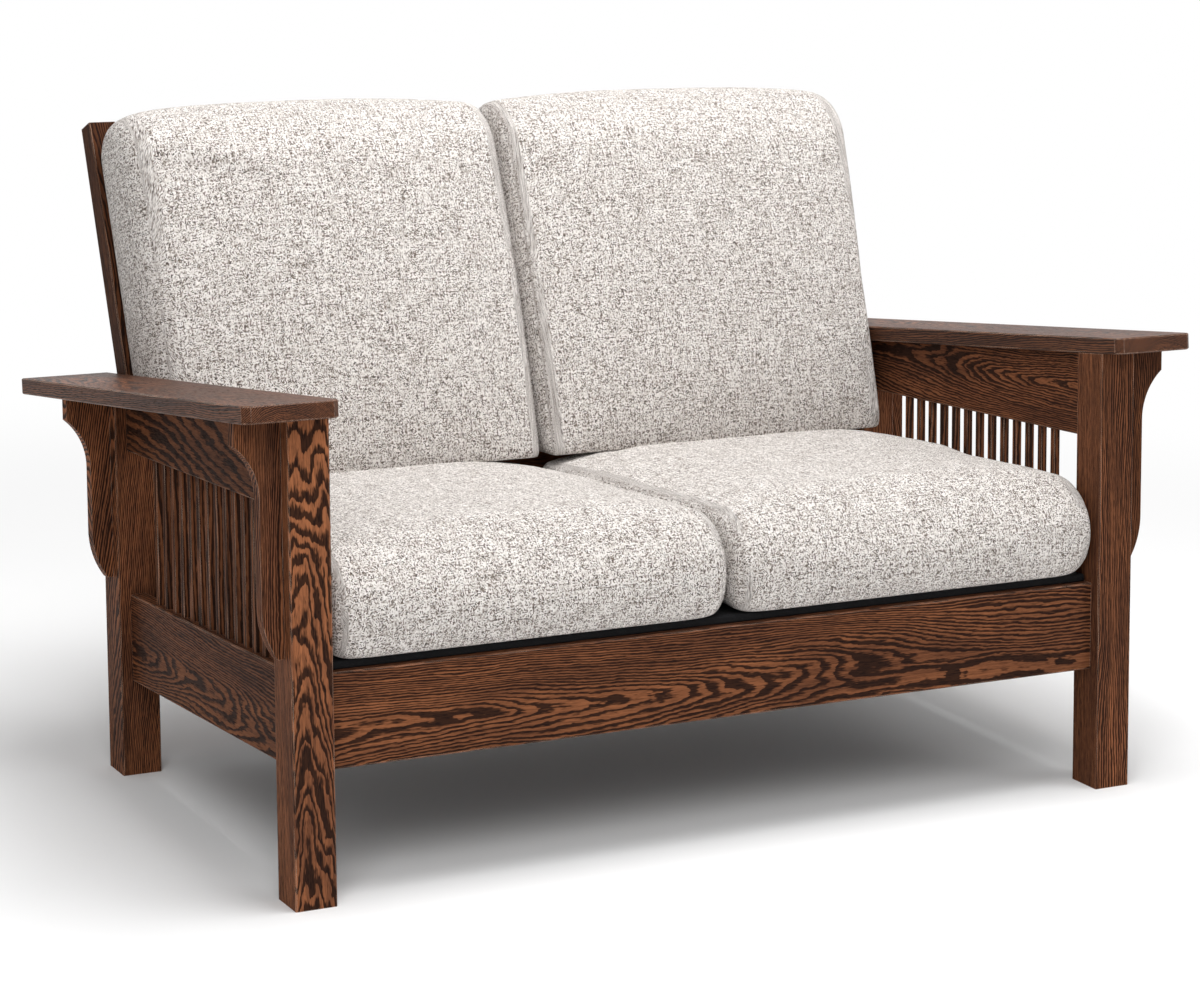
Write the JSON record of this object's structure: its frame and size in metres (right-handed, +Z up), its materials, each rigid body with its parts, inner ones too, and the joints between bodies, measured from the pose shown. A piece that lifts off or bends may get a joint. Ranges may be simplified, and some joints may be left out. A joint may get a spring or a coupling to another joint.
{
  "type": "loveseat",
  "caption": "Wood-framed loveseat with slatted sides, flat arms on corbels, a reclined slatted back and loose seat and back cushions.",
  "frame": {"origin": "on the floor, under the middle of the whole outline", "axes": "+X to the right as seen from the front, -Y out of the front, +Z up"},
  "size_m": [1.598, 1.0532, 1.0383],
  "materials": {
    "oak": "dark brown stain under a satin lacquer, grain showing",
    "cushion_fabric": "oatmeal tweed upholstery cloth with brown and black flecks",
    "deck_cloth": "plain black deck cloth",
    "webbing": "woven upholstery webbing",
    "steel": "zinc plated"
  },
  "bodies": {
    "frame": {"arm_left": "oak", "arm_right": "oak", "back_screws": "steel", "back_slat_1": "oak", "back_slat_2": "oak", "back_slat_3": "oak", "back_slat_4": "oak", "back_slat_5": "oak", "back_stile_left": "oak", "back_stile_right": "oak", "corner_blocks": "oak", "crest_rail": "oak", "deck_pad": "deck_cloth", "front_corbel_left": "oak", "front_corbel_right": "oak", "front_post_left": "oak", "front_post_right": "oak", "front_rail": "oak", "low_back_rail": "oak", "lower_side_rail_left": "oak", "lower_side_rail_right": "oak", "rear_corbel_left": "oak", "rear_corbel_right": "oak", "rear_post_left": "oak", "rear_post_right": "oak", "rear_rail": "oak", "seat_stretcher": "oak", "seat_webbing": "webbing", "spindle_left_01": "oak", "spindle_left_02": "oak", "spindle_left_03": "oak", "spindle_left_04": "oak", "spindle_left_05": "oak", "spindle_left_06": "oak", "spindle_left_07": "oak", "spindle_left_08": "oak", "spindle_left_09": "oak", "spindle_left_10": "oak", "spindle_left_11": "oak", "spindle_left_12": "oak", "spindle_left_13": "oak", "spindle_right_01": "oak", "spindle_right_02": "oak", "spindle_right_03": "oak", "spindle_right_04": "oak", "spindle_right_05": "oak", "spindle_right_06": "oak", "spindle_right_07": "oak", "spindle_right_08": "oak", "spindle_right_09": "oak", "spindle_right_10": "oak", "spindle_right_11": "oak", "spindle_right_12": "oak", "spindle_right_13": "oak", "upper_side_rail_left": "oak", "upper_side_rail_right": "oak"},
    "back_cushion_left": {"back_cushion_left": "cushion_fabric"},
    "back_cushion_right": {"back_cushion_right": "cushion_fabric"},
    "seat_cushion_left": {"seat_cushion_left": "cushion_fabric"},
    "seat_cushion_right": {"seat_cushion_right": "cushion_fabric"}
  },
  "joints": [
    {"name": "back_cushion_left_lift_out", "type": "slide", "parent": "frame", "child": "back_cushion_left", "axis": [0, 0.3938, 0.9192], "range_m": [0, 0.25]},
    {"name": "back_cushion_right_lift_out", "type": "slide", "parent": "frame", "child": "back_cushion_right", "axis": [0, 0.3938, 0.9192], "range_m": [0, 0.25]},
    {"name": "seat_cushion_left_pull_out", "type": "slide", "parent": "frame", "child": "seat_cushion_left", "axis": [0, -0.9982, 0.0592], "range_m": [0, 0.3]},
    {"name": "seat_cushion_right_pull_out", "type": "slide", "parent": "frame", "child": "seat_cushion_right", "axis": [0, -0.9982, 0.0592], "range_m": [0, 0.3]}
  ]
}
